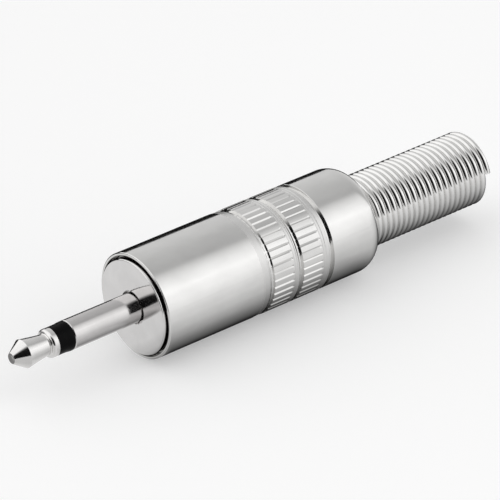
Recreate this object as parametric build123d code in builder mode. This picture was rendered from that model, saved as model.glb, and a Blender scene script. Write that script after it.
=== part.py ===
from build123d import *
from math import atan2, cos, hypot, pi, radians, sin
import os

os.makedirs("parts", exist_ok=True)

# A 2.5 mm two-pole jack plug with a knurled metal barrel and a spring cable guard.
# The plug lies along X. The origin is the middle of the flange face that stops against
# the jack: the pin points towards -X and the cable leaves towards +X.
# Every size is in millimetres and every angle in degrees.

# Clearances
press_gap = 0.02
rod_hole_gap = 0.03
thread_gap = 0.05
liner_gap = 0.05
tag_liner_gap = 0.10
guard_gap = 0.05
flare_gap = 0.10
flange_gap = 0.15
stop_gap = 0.05
liner_end_gap = 0.20

# Pin, from the flange face towards the tip
pin_radius = 1.25
sleeve_length = 6.53
sleeve_wall = 0.41
sleeve_edge = 0.08
sleeve_seat_depth = 3.00
sleeve_seat_step = 0.20
ring_length = 1.50
ring_step_length = 0.72
ring_step_depth = 0.05
ring_rise_length = 0.60
collar_radius = 1.21
collar_width = 0.33
collar_bevel = 0.27
neck_radius = 0.88
neck_length = 2.15
nose_radius = 1.20
nose_length = 1.12
nose_flat_radius = 0.45
tube_wall = 0.30

# Plug body behind the flange face
flange_thickness = 1.20
flange_bevel = 0.13
pin_recess_width = 0.17
pin_recess_depth = 0.06
pin_lip_depth = 0.12
thread_depth = 0.30
thread_relief_width = 0.50
thread_length = 2.90
thread_lead = 0.25
boss_height = 0.60
boss_wall = 0.35
spigot_step = 0.20

# Insulator and solder tags behind the body
tag_thickness = 0.35
tag_bend_radius = 0.15
washer_overhang = 0.20
washer_thickness = 0.65
tip_tag_ring_width = 0.92
tip_tag_width = 1.60
tip_tag_reach = 4.30
tip_tag_hole_radius = 0.40
rivet_overhang = 0.35
rivet_height = 0.30
rivet_bevel = 0.15
sleeve_tag_ring_width = 0.43
sleeve_tag_width = 2.20
sleeve_tag_reach = 8.60
sleeve_tag_hole_radius = 0.60
sleeve_tag_hole_reach = 4.20
clamp_length = 2.60
clamp_finger_height = 1.00
clamp_finger_round = 0.60

# Barrel outside, from the front rim towards the cable
barrel_wall = 0.88
flange_proud = 0.30
rim_wall = 0.25
rim_chamfer = 0.13
plain_front_length = 10.17
groove_width = 0.45
groove_flank = 0.20
groove_depth = 0.20
rear_groove_width = 0.70
rear_groove_flank = 0.30
knurl_bands = 2
knurl_width = 2.06
knurl_count = 44
knurl_depth = 0.12
knurl_cut_width = 0.30
knurl_cut_overlap = 1.5
knurl_phase = 3.8
ring_width = 0.47
plain_rear_length = 3.82
shoulder_length = 1.57
shoulder_cones = 4

# Barrel inside
barrel_thread_step = 0.20
barrel_thread_spare = 0.20
barrel_relief_width = 0.50
barrel_relief_depth = 0.15
rear_wall = 1.35

# Insulating liner
liner_wall = 0.30

# Spring guard, a right-hand coil
wire_radius = 0.26
wire_sides = 4
lengths_per_turn = 16
coil_gap = 0.038
guard_lip = 0.41
guard_reach = 12.38
guard_end_angle = 166.0
flare_turns = 1.25

# Stations along X
sleeve_front = -sleeve_length
ring_front = sleeve_front - ring_length
collar_front = ring_front - collar_width
neck_back = collar_front - collar_bevel
nose_corner = neck_back - neck_length
nose_end = nose_corner - nose_length
seat_start = pin_lip_depth + sleeve_seat_step
thread_start = flange_thickness + thread_relief_width
body_back = thread_start + thread_length
boss_back = body_back + boss_height
washer_back = boss_back + washer_thickness
rivet_seat = washer_back + tag_thickness
rod_end = rivet_seat + rivet_height
clamp_start = body_back + sleeve_tag_reach
rim = flange_proud
barrel_stop = flange_thickness + stop_gap
barrel_thread_end = body_back + barrel_thread_spare
bore_start = barrel_thread_end + barrel_relief_width
band_pitch = groove_width + knurl_width + ring_width
front_groove = rim + plain_front_length
rear_groove = front_groove + knurl_bands * band_pitch
shoulder_start = rear_groove + rear_groove_width + plain_rear_length
barrel_end = shoulder_start + shoulder_length
rear_wall_front = barrel_end - rear_wall
coil_pitch = 2 * wire_radius + coil_gap
coil_start = rear_wall_front - wire_radius
coil_end = barrel_end + guard_reach
flare_length = coil_pitch * flare_turns
liner_front = bore_start + liner_end_gap
liner_back = coil_start - flare_length - wire_radius - liner_end_gap

# Radii, each worked out from the fit inside it
sleeve_bore_radius = pin_radius - sleeve_wall
tube_radius = sleeve_bore_radius - press_gap
tube_bore_radius = tube_radius - tube_wall
rod_radius = tube_bore_radius - press_gap
sleeve_seat_radius = pin_radius + sleeve_seat_step
body_bore_radius = sleeve_seat_radius + press_gap
pin_recess_radius = pin_radius + pin_recess_width
pin_lip_radius = pin_radius + press_gap
counterbore_radius = body_bore_radius + spigot_step
spigot_radius = counterbore_radius - press_gap
boss_radius = counterbore_radius + boss_wall
washer_radius = boss_radius + washer_overhang
rod_hole_radius = rod_radius + rod_hole_gap
tip_tag_ring_radius = rod_hole_radius + tip_tag_ring_width
sleeve_tag_hole = boss_radius + press_gap
sleeve_tag_ring_radius = sleeve_tag_hole + sleeve_tag_ring_width
clamp_inner_radius = sleeve_tag_ring_radius + tag_bend_radius
clamp_outer_radius = clamp_inner_radius + tag_thickness
liner_bore_radius = hypot(clamp_outer_radius, sleeve_tag_width / 2) + tag_liner_gap
liner_radius = liner_bore_radius + liner_wall
bore_radius = liner_radius + liner_gap
barrel_radius = bore_radius + barrel_wall
barrel_thread_radius = bore_radius + barrel_thread_step
barrel_relief_radius = barrel_thread_radius + barrel_relief_depth
thread_radius = barrel_thread_radius - thread_gap
thread_relief_radius = thread_radius - thread_depth
flange_bore_radius = barrel_radius - rim_wall
flange_radius = flange_bore_radius - flange_gap
guard_hole_radius = bore_radius - guard_lip
coil_radius = guard_hole_radius - guard_gap - wire_radius
flare_growth = bore_radius - flare_gap - wire_radius - coil_radius


def bent_strip(side, front, ring_radius, end):
    """Side outline of a stamped strip that leaves a ring and is bent back along the plug."""
    outer_bend = tag_bend_radius + tag_thickness
    bend_end = front + outer_bend
    with BuildSketch(side) as strip:
        with BuildLine():
            Line((front, 0), (front, ring_radius))
            RadiusArc((front, ring_radius), (bend_end, ring_radius + outer_bend), outer_bend)
            Polyline(
                (bend_end, ring_radius + outer_bend),
                (end, ring_radius + outer_bend),
                (end, ring_radius + tag_bend_radius),
                (bend_end, ring_radius + tag_bend_radius),
            )
            RadiusArc(
                (bend_end, ring_radius + tag_bend_radius),
                (front + tag_thickness, ring_radius),
                -tag_bend_radius,
            )
            Polyline((front + tag_thickness, ring_radius), (front + tag_thickness, 0), (front, 0))
        make_face()
    return strip.sketch


# Tip contact: blunt nose, tapered neck, bevelled collar and the rod with its riveted end
with BuildPart() as tip_contact:
    with BuildSketch(Plane.XZ):
        with BuildLine():
            Polyline(
                (rod_end, 0),
                (nose_end, 0),
                (nose_end, nose_flat_radius),
                (nose_corner, nose_radius),
                (neck_back, neck_radius),
                (neck_back, collar_radius - collar_bevel),
                (collar_front, collar_radius),
                (ring_front, collar_radius),
                (ring_front, rod_radius),
                (rivet_seat, rod_radius),
                (rivet_seat, rod_radius + rivet_overhang),
                (rod_end - rivet_bevel, rod_radius + rivet_overhang),
                (rod_end, rod_radius + rivet_overhang - rivet_bevel),
                close=True,
            )
        make_face()
    revolve(axis=Axis.X)
tip_contact.part.label = "tip_contact"
export_step(tip_contact.part, "parts/tip_contact.step")

# Tip insulator: the black ring, waisted behind the collar, and its tube inside the sleeve
ring_rise_start = ring_front + ring_step_length
ring_rise_end = ring_rise_start + ring_rise_length
with BuildPart() as tip_insulator:
    with BuildSketch(Plane.XZ):
        with BuildLine():
            Polyline(
                (ring_rise_start, pin_radius - ring_step_depth),
                (ring_front, pin_radius - ring_step_depth),
                (ring_front, tube_bore_radius),
                (sleeve_seat_depth, tube_bore_radius),
                (sleeve_seat_depth, tube_radius),
                (sleeve_front, tube_radius),
                (sleeve_front, pin_radius),
                (ring_rise_end, pin_radius),
            )
            Spline(
                (ring_rise_end, pin_radius),
                (ring_rise_start, pin_radius - ring_step_depth),
                tangents=((-1, 0), (-1, 0)),
            )
        make_face()
    revolve(axis=Axis.X)
tip_insulator.part.label = "tip_insulator"
export_step(tip_insulator.part, "parts/tip_insulator.step")

# Pin sleeve: the plain tube of the pin, with a coned, thicker seat pressed into the body
with BuildPart() as pin_sleeve:
    with BuildSketch(Plane.XZ):
        with BuildLine():
            Polyline(
                (sleeve_front, sleeve_bore_radius),
                (sleeve_front, pin_radius - sleeve_edge),
                (sleeve_front + sleeve_edge, pin_radius),
                (pin_lip_depth, pin_radius),
                (seat_start, sleeve_seat_radius),
                (sleeve_seat_depth, sleeve_seat_radius),
                (sleeve_seat_depth, sleeve_bore_radius),
                close=True,
            )
        make_face()
    revolve(axis=Axis.X)
pin_sleeve.part.label = "pin_sleeve"
export_step(pin_sleeve.part, "parts/pin_sleeve.step")

# Plug body: bevelled flange, threaded seat for the barrel and the boss that carries the tags
with BuildPart() as plug_body:
    with BuildSketch(Plane.XZ):
        with BuildLine():
            Polyline(
                (pin_lip_depth, pin_lip_radius),
                (pin_recess_depth, pin_lip_radius),
                (0, pin_recess_radius),
                (0, flange_radius - flange_bevel),
                (flange_bevel, flange_radius),
                (flange_thickness, flange_radius),
                (flange_thickness, thread_relief_radius),
                (thread_start, thread_relief_radius),
                (thread_start + thread_lead, thread_radius),
                (body_back - thread_lead, thread_radius),
                (body_back, thread_radius - thread_lead),
                (body_back, boss_radius),
                (boss_back, boss_radius),
                (boss_back, counterbore_radius),
                (sleeve_seat_depth, counterbore_radius),
                (sleeve_seat_depth, body_bore_radius),
                (seat_start, body_bore_radius),
                close=True,
            )
        make_face()
    revolve(axis=Axis.X)
plug_body.part.label = "plug_body"
export_step(plug_body.part, "parts/plug_body.step")

# Rear insulator: shouldered bush that keeps the tip tag off the plug body
with BuildPart() as rear_insulator:
    with BuildSketch(Plane.XZ):
        with BuildLine():
            Polyline(
                (sleeve_seat_depth, tube_bore_radius),
                (sleeve_seat_depth, spigot_radius),
                (boss_back, spigot_radius),
                (boss_back, washer_radius),
                (washer_back, washer_radius),
                (washer_back, tube_bore_radius),
                close=True,
            )
        make_face()
    revolve(axis=Axis.X)
rear_insulator.part.label = "rear_insulator"
export_step(rear_insulator.part, "parts/rear_insulator.step")

# Tip tag: a ring under the rivet, bent back into a round-ended solder lug
tip_lug_end = rivet_seat + tip_tag_reach
tip_lug_centre = tip_lug_end - tip_tag_width / 2
with BuildPart() as tip_tag:
    with BuildSketch(Plane.YZ.offset(washer_back)):
        Circle(tip_tag_ring_radius)
    extrude(amount=tag_thickness)
    extrude(
        bent_strip(Plane.XZ, washer_back, tip_tag_ring_radius, tip_lug_centre),
        amount=tip_tag_width / 2,
        both=True,
    )
    with BuildSketch(Plane.XY.offset(tip_tag_ring_radius + tag_bend_radius)):
        with Locations((tip_lug_centre, 0)):
            Circle(tip_tag_width / 2)
    extrude(amount=tag_thickness)
    with BuildSketch(Plane.XY.offset(tip_tag_ring_radius + tag_bend_radius)):
        with Locations((tip_lug_centre, 0)):
            Circle(tip_tag_hole_radius)
    extrude(amount=tag_thickness, mode=Mode.SUBTRACT)
    with BuildSketch(Plane.YZ.offset(washer_back)):
        Circle(rod_hole_radius)
    extrude(amount=tag_thickness, mode=Mode.SUBTRACT)
tip_tag.part.label = "tip_tag"
export_step(tip_tag.part, "parts/tip_tag.step")

# Sleeve tag: a ring on the boss, a strip with a solder hole and the open clamp for the cable
lower_side = Plane(origin=(0, 0, 0), x_dir=(1, 0, 0), z_dir=(0, 1, 0))
with BuildPart() as sleeve_tag:
    with BuildSketch(Plane.YZ.offset(body_back)):
        Circle(sleeve_tag_ring_radius)
    extrude(amount=tag_thickness)
    extrude(
        bent_strip(lower_side, body_back, sleeve_tag_ring_radius, clamp_start),
        amount=sleeve_tag_width / 2,
        both=True,
    )
    with BuildSketch(Plane.YZ.offset(clamp_start)):
        Circle(clamp_outer_radius)
        Circle(clamp_inner_radius, mode=Mode.SUBTRACT)
        with Locations((0, clamp_finger_height)):
            Rectangle(
                2 * clamp_outer_radius,
                2 * clamp_outer_radius,
                align=(Align.CENTER, Align.MIN),
                mode=Mode.SUBTRACT,
            )
    extrude(amount=clamp_length)
    finger_corners = sleeve_tag.edges().filter_by(Axis.Y).group_by(Axis.Z)[-1]
    fillet(finger_corners, radius=clamp_finger_round)
    with BuildSketch(Plane.XY.offset(-clamp_outer_radius)):
        with Locations((body_back + sleeve_tag_hole_reach, 0)):
            Circle(sleeve_tag_hole_radius)
    extrude(amount=tag_thickness, mode=Mode.SUBTRACT)
    with BuildSketch(Plane.YZ.offset(body_back)):
        Circle(sleeve_tag_hole)
    extrude(amount=tag_thickness, mode=Mode.SUBTRACT)
sleeve_tag.part.label = "sleeve_tag"
export_step(sleeve_tag.part, "parts/sleeve_tag.step")

# Insulating liner: a thin tube that keeps the solder tags off the barrel
with BuildPart() as insulating_liner:
    with BuildSketch(Plane.YZ.offset(liner_front)):
        Circle(liner_radius)
        Circle(liner_bore_radius, mode=Mode.SUBTRACT)
    extrude(amount=liner_back - liner_front)
insulating_liner.part.label = "insulating_liner"
export_step(insulating_liner.part, "parts/insulating_liner.step")

# Barrel outline: a plain front, then for each band a groove, the knurl and a plain ring,
# and last the rear groove and the round shoulder, which is turned in short cones
barrel_outside = [
    (rim, flange_bore_radius),
    (rim, barrel_radius - rim_chamfer),
    (rim + rim_chamfer, barrel_radius),
    (front_groove, barrel_radius),
]
knurl_starts = [front_groove + groove_width + band * band_pitch for band in range(knurl_bands)]
for knurl_start in knurl_starts:
    barrel_outside += [
        (knurl_start - groove_width + groove_flank, barrel_radius - groove_depth),
        (knurl_start, barrel_radius - groove_depth),
        (knurl_start, barrel_radius),
        (knurl_start + knurl_width + ring_width, barrel_radius),
    ]
barrel_outside += [
    (rear_groove + groove_flank, barrel_radius - groove_depth),
    (rear_groove + rear_groove_width - rear_groove_flank, barrel_radius - groove_depth),
    (rear_groove + rear_groove_width, barrel_radius),
    (shoulder_start, barrel_radius),
]
shoulder_drop = barrel_radius - guard_hole_radius
shoulder_radius = hypot(shoulder_length, shoulder_drop) ** 2 / (2 * shoulder_drop)
shoulder_angle = 2 * atan2(shoulder_drop, shoulder_length)
for cone in range(1, shoulder_cones + 1):
    angle = shoulder_angle * cone / shoulder_cones
    barrel_outside += [
        (
            shoulder_start + shoulder_radius * sin(angle),
            barrel_radius - shoulder_radius * (1 - cos(angle)),
        )
    ]
barrel_inside = [
    (rear_wall_front, guard_hole_radius),
    (rear_wall_front, bore_radius),
    (bore_start, bore_radius),
    (bore_start, barrel_relief_radius),
    (barrel_thread_end, barrel_relief_radius),
    (barrel_thread_end, barrel_thread_radius),
    (barrel_stop, barrel_thread_radius),
    (barrel_stop, flange_bore_radius),
]

# Barrel: turned cover, with straight V cuts that leave the flat ribs of the knurl
cut_top = knurl_depth * (knurl_cut_overlap - 1)
cut_top_half = knurl_cut_width * knurl_cut_overlap / 2
with BuildPart() as barrel:
    with BuildSketch(Plane.XZ):
        with BuildLine():
            Polyline(*barrel_outside, *barrel_inside, close=True)
        make_face()
    revolve(axis=Axis.X)
    for knurl_start in knurl_starts:
        with BuildSketch(Plane.YZ.offset(knurl_start)):
            with PolarLocations(barrel_radius, knurl_count, start_angle=knurl_phase):
                Polygon(
                    (-knurl_depth, 0),
                    (cut_top, cut_top_half),
                    (cut_top, -cut_top_half),
                    align=None,
                )
        extrude(amount=knurl_width, mode=Mode.SUBTRACT)
barrel.part.label = "barrel"
export_step(barrel.part, "parts/barrel.step")

# Spring guard: a close coil whose first turns flare out and seat in front of the rear wall.
# It is built from short straight lengths, which keeps its many turns light.
coil_front = coil_start - flare_length
coil_turns = (coil_end - coil_front) / coil_pitch
coil_lengths = round(coil_turns * lengths_per_turn)


def wire_plane(turn):
    """Plane across the wire, a number of turns behind the front end of the coil."""
    radius = coil_radius + flare_growth * max(0, 1 - turn / flare_turns)
    angle = radians(guard_end_angle + 360 * (turn - coil_turns))
    outward = Vector(0, cos(angle), sin(angle))
    around = Vector(0, -sin(angle), cos(angle))
    centre = Vector(coil_front + coil_pitch * turn, 0, 0) + outward * radius
    along = Vector(coil_pitch, 0, 0) + around * (2 * pi * radius)
    return Plane(origin=centre, x_dir=outward, z_dir=along)


with BuildPart() as strain_spring:
    for length in range(coil_lengths + 1):
        with BuildSketch(wire_plane(coil_turns * length / coil_lengths)):
            RegularPolygon(wire_radius, wire_sides)
    loft(ruled=True)
strain_spring.part.label = "strain_spring"
export_step(strain_spring.part, "parts/strain_spring.step")
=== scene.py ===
"""Looks of a two-pole jack plug with a knurled barrel and a spring cable guard.

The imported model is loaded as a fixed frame. Each of its pieces is stood for by a finer one that
is modelled and finished here. Sizes are in millimetres, with X along the plug, and become
metres when a mesh is made. An outline of a hollow piece starts and ends at a seam in its bore,
so that all of its corners are softened alike.
"""

import logging
from dataclasses import dataclass
from enum import Enum
from math import atan2, ceil, cos, degrees, hypot, pi, radians, sin, tan
from typing import Iterable

import bpy
from mathutils import Matrix, Vector

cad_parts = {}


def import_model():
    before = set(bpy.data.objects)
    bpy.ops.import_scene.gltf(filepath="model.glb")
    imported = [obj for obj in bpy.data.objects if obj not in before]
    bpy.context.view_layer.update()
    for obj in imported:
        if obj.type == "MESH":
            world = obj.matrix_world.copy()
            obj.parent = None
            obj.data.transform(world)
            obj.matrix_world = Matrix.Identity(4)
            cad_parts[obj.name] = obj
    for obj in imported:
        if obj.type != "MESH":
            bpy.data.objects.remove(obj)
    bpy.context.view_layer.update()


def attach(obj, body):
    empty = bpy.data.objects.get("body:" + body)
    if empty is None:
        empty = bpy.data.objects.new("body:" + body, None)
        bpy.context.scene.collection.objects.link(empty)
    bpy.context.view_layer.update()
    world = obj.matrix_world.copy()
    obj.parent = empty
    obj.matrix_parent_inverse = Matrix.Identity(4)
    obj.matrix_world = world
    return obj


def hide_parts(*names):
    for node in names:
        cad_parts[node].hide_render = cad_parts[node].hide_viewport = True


# Metres in a millimetre, and the distance in metres under which points are merged
MM = 0.001
MERGE = 1e-7
# Spans of a value: the one in which noise mostly lies, and a full one
NOISE = (0.32, 0.68)
WHOLE = (0.0, 1.0)
# Steps along a curve, as shares of its length
FIFTHS = (0.0, 0.2, 0.4, 0.6, 0.8, 1.0)
SIXTHS = (0.0, 0.17, 0.33, 0.5, 0.67, 0.83, 1.0)
ALONG = Vector((1, 0, 0))
UPWARD = Vector((0, 0, 1))
Piece = bpy.types.Object
Socket = bpy.types.NodeSocket
Pair = tuple[float, float]
Triple = tuple[float, float, float]
Outline = list[Pair]
Steps = tuple[Pair, ...]
Feed = Socket | float | Iterable[float]
log = logging.getLogger("jack_plug")


class Corner(Enum):
    """How sharp an edge is left, as the radius of its rounding in millimetres."""

    KEEN = 0.012
    BROKEN = 0.03
    SOFT = 0.06


class Body(Enum):
    """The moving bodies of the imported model."""

    PLUG = "plug"
    LINER = "liner"
    GUARD = "guard"
    COVER = "cover"


# Workbench: the modelling steps that the pieces share


def clear_bench() -> None:
    """Leaves edit mode and deselects everything."""
    if bpy.context.object and bpy.context.object.mode != "OBJECT":
        bpy.ops.object.mode_set(mode="OBJECT")
    bpy.ops.object.select_all(action="DESELECT")


def take_up(piece: Piece) -> None:
    """Makes a piece the active one and the only one selected, in object mode.

    Args:
        piece: The piece.
    """
    clear_bench()
    piece.select_set(True)
    bpy.context.view_layer.objects.active = piece


def start_chain(name: str, points: Iterable[Vector]) -> Piece:
    """Starts a mesh as a chain of edges and leaves it in edit mode, selected all over.

    Args:
        name: Name of the new object.
        points: Corners of the chain, in millimetres.

    Returns:
        The new object, active and in edit mode.
    """
    clear_bench()
    corners = [Vector(point) * MM for point in points]
    bpy.ops.mesh.primitive_plane_add(size=MM)
    piece = bpy.context.object
    piece.name = name
    piece.data.name = name
    bpy.ops.object.mode_set(mode="EDIT")
    bpy.ops.mesh.select_mode(type="VERT")
    bpy.ops.mesh.select_all(action="SELECT")
    bpy.ops.mesh.merge(type="CENTER")
    bpy.ops.transform.translate(value=corners[0])
    for here, there in zip(corners, corners[1:]):
        bpy.ops.mesh.extrude_region_move(TRANSFORM_OT_translate={"value": there - here})
    bpy.ops.mesh.select_all(action="SELECT")
    return piece


def start_loop(name: str, corners: list[Vector], filled: bool = True) -> Piece:
    """Starts a mesh as a closed loop of edges and leaves it in edit mode.

    Args:
        name: Name of the new object.
        corners: Corners of the loop, in millimetres, all in one plane.
        filled: Whether the loop is filled with one face.

    Returns:
        The new object, active and in edit mode.
    """
    piece = start_chain(name, [*corners, corners[0]])
    bpy.ops.mesh.remove_doubles(threshold=MERGE)
    if filled:
        bpy.ops.mesh.edge_face_add()
    return piece


def close_skin() -> None:
    """Merges seams and poles of the mesh in edit mode, turns its faces outward and leaves edit mode."""
    bpy.ops.mesh.select_all(action="SELECT")
    bpy.ops.mesh.remove_doubles(threshold=MERGE)
    bpy.ops.mesh.normals_make_consistent(inside=False)
    bpy.ops.object.mode_set(mode="OBJECT")


def smooth(piece: Piece, angle: float = 28.0) -> None:
    """Shades a piece smooth except over edges sharper than this angle, in degrees."""
    take_up(piece)
    bpy.ops.object.shade_smooth_by_angle(angle=radians(angle))


def turned(name: str, outline: Outline, steps: int, start_angle: float = 90.0) -> Piece:
    """Turns a side outline round the X axis.

    Args:
        name: Name of the new object.
        outline: Points (station, radius), closed on itself or ending on the axis.
        steps: Number of faces round the axis.
        start_angle: Angle of the first row of points from +Y towards +Z, in degrees.

    Returns:
        The turned piece, in object mode.
    """
    across = Vector((0, cos(radians(start_angle)), sin(radians(start_angle))))
    piece = start_chain(name, [Vector((x, 0, 0)) + across * r for x, r in outline])
    bpy.ops.mesh.spin(steps=steps, angle=2 * pi, center=(0, 0, 0), axis=(1, 0, 0))
    close_skin()
    return piece


def softened(outline: Outline, corner: Corner, arcs: int = 3) -> Outline:
    """Rounds the sharp corners of an outline.

    Args:
        outline: Points (station, radius).
        corner: How sharp each corner is left.
        arcs: Number of short edges in each rounding.

    Returns:
        The outline with its inner corners rounded. Its two ends stay.
    """
    least_turn, most_share = radians(14), 0.45
    result = [outline[0]]
    for before, point, after in zip(outline, outline[1:], outline[2:]):
        middle = Vector(point)
        back, ahead = Vector(before) - middle, Vector(after) - middle
        turn = pi - back.angle(ahead)
        if turn < least_turn:
            result.append(point)
            continue
        reach = min(corner.value * tan(turn / 2), most_share * back.length, most_share * ahead.length)
        start, end = middle + back.normalized() * reach, middle + ahead.normalized() * reach
        for arc in range(arcs + 1):
            t = arc / arcs
            spot = start * (1 - t) ** 2 + middle * (2 * t * (1 - t)) + end * t**2
            result.append((spot.x, spot.y))
    return result + [outline[-1]]


def turned_part(name: str, outline: Outline, corner: Corner, steps: int) -> Piece:
    """Turns an outline with softened corners and shades the piece.

    Args:
        name: Name of the new object.
        outline: Points (station, radius), closed on itself or ending on the axis.
        corner: How sharp each corner is left.
        steps: Number of faces round the axis.

    Returns:
        The piece, in object mode.
    """
    piece = turned(name, softened(outline, corner), steps)
    smooth(piece)
    return piece


def stepped(station: float, radius: float, *moves: float) -> Outline:
    """Gives a square-shouldered outline.

    Args:
        station: Station of its first point.
        radius: Radius of its first point.
        moves: The station and radius that it goes to in turn.

    Returns:
        Points (station, radius), with a new one after each move.
    """
    points = [(station, radius)]
    for number, move in enumerate(moves):
        last_station, last_radius = points[-1]
        points.append((last_station, move) if number % 2 else (move, last_radius))
    return points


def quarter(arcs: int = 6) -> list[float]:
    """Gives the angles that divide a quarter turn into this many arcs, in radians."""
    return [pi / 2 * arc / arcs for arc in range(arcs + 1)]


def rounded_edge(front: float, radius: float, rounding: float) -> Outline:
    """Gives the rounded front edge of a turned piece.

    Args:
        front: Station of the front face.
        radius: Radius of the piece behind its edge.
        rounding: Radius of the rounding.

    Returns:
        Points from the front face to the outside.
    """
    return [
        (front + rounding * (1 - sin(pi / 2 - turn)), radius - rounding * (1 - sin(turn)))
        for turn in quarter()
    ]


def select_points(piece: Piece, chosen: list[bool]) -> None:
    """Selects points of a piece and enters edit mode.

    Args:
        piece: The piece, in object mode.
        chosen: Whether each of its points is selected.
    """
    mesh = piece.data
    mesh.polygons.foreach_set("select", [False] * len(mesh.polygons))
    mesh.edges.foreach_set("select", [False] * len(mesh.edges))
    mesh.vertices.foreach_set("select", chosen)
    take_up(piece)
    bpy.ops.object.mode_set(mode="EDIT")
    bpy.ops.mesh.select_mode(type="VERT")


def merge_near(piece: Piece, gap: float) -> None:
    """Merges points of a piece that lie closer than this gap, in millimetres, and stays in edit mode."""
    select_points(piece, [True] * len(piece.data.vertices))
    bpy.ops.mesh.remove_doubles(threshold=gap * MM)


def slab(name: str, corners: list[Vector], depth: Vector) -> Piece:
    """Extrudes a flat outline into a slab.

    Args:
        name: Name of the new object.
        corners: Corners of the outline, in millimetres, all in one plane.
        depth: How far and which way the slab is extruded, in millimetres.

    Returns:
        The slab, in object mode.
    """
    piece = start_loop(name, corners)
    bpy.ops.mesh.extrude_region_move(TRANSFORM_OT_translate={"value": depth * MM})
    close_skin()
    return piece


def apply_modifier(piece: Piece, kind: str, **settings: object) -> None:
    """Adds a modifier to a piece and applies it.

    Args:
        piece: The piece.
        kind: Type of the modifier.
        settings: The modifier's own settings.
    """
    take_up(piece)
    modifier = piece.modifiers.new(kind.lower(), kind)
    for key, value in settings.items():
        setattr(modifier, key, value)
    bpy.ops.object.modifier_apply(modifier=modifier.name)


def combine(piece: Piece, other: Piece, way: str) -> None:
    """Joins another solid to a piece, or cuts it out, and deletes that solid.

    Args:
        piece: The piece that is changed.
        other: The solid that is joined or cut out.
        way: UNION or DIFFERENCE.
    """
    apply_modifier(piece, "BOOLEAN", object=other, operation=way, solver="EXACT")
    bpy.data.objects.remove(other)


def rod(name: str, centre: Vector, along: Vector, radius: float, length: float, sides: int = 48) -> Piece:
    """Adds a round cutter or disc.

    Args:
        name: Name of the new object.
        centre: Its middle, in millimetres.
        along: The direction of its axis.
        radius: Its radius.
        length: Its length.
        sides: Number of faces round it.

    Returns:
        The rod with its place in its mesh.
    """
    clear_bench()
    bpy.ops.mesh.primitive_cylinder_add(
        vertices=sides,
        radius=radius * MM,
        depth=length * MM,
        location=centre * MM,
        rotation=along.to_track_quat("Z", "Y").to_euler(),
    )
    piece = bpy.context.object
    piece.name = name
    bpy.ops.object.transform_apply(location=True, rotation=True, scale=True)
    return piece


def add_thread(piece: Piece, name: str, root: float, crest: float, start: float, turns: float) -> None:
    """Winds a screw thread's ridge round the X axis as a closed shell of a piece.

    Args:
        piece: The piece that gets the ridge.
        name: Name of the ridge while it is made.
        root: Radius of the ridge's foot.
        crest: Radius of its crest, larger than root outside and smaller inside.
        start: Station where the ridge starts.
        turns: Number of turns.
    """
    lead, sunk, steps_per_turn = 0.5, 0.03, 72
    foot, top = 0.44 * lead, 0.07 * lead
    sink = root - sunk * (1 if crest > root else -1)
    corners = [(start - foot, sink), (start - top, crest), (start + top, crest), (start + foot, sink)]
    ridge = start_loop(name, [Vector((x, 0, r)) for x, r in corners])
    wind(ridge, turns, lead, steps_per_turn)
    take_up(piece)
    ridge.select_set(True)
    bpy.ops.object.join()


def wind(piece: Piece, turns: float, lead: float, steps_per_turn: int) -> None:
    """Winds a flat section right-handed round and along the X axis and closes both ends.

    Args:
        piece: The section, a flat face or loop.
        turns: Number of turns.
        lead: Length of one turn along the plug.
        steps_per_turn: Number of short lengths in a turn.
    """
    steps = ceil(turns * steps_per_turn)
    apply_modifier(
        piece,
        "SCREW",
        axis="X",
        angle=2 * pi * turns,
        screw_offset=turns * lead * MM,
        steps=steps,
        render_steps=steps,
        iterations=1,
        use_merge_vertices=True,
        merge_threshold=MERGE,
    )
    take_up(piece)
    bpy.ops.object.mode_set(mode="EDIT")
    bpy.ops.mesh.select_all(action="DESELECT")
    bpy.ops.mesh.select_mode(type="EDGE")
    bpy.ops.mesh.select_non_manifold(
        extend=False, use_wire=False, use_multi_face=False, use_non_contiguous=False
    )
    bpy.ops.mesh.edge_face_add()
    bpy.ops.mesh.select_mode(type="VERT")
    close_skin()


# Finishes


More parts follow.
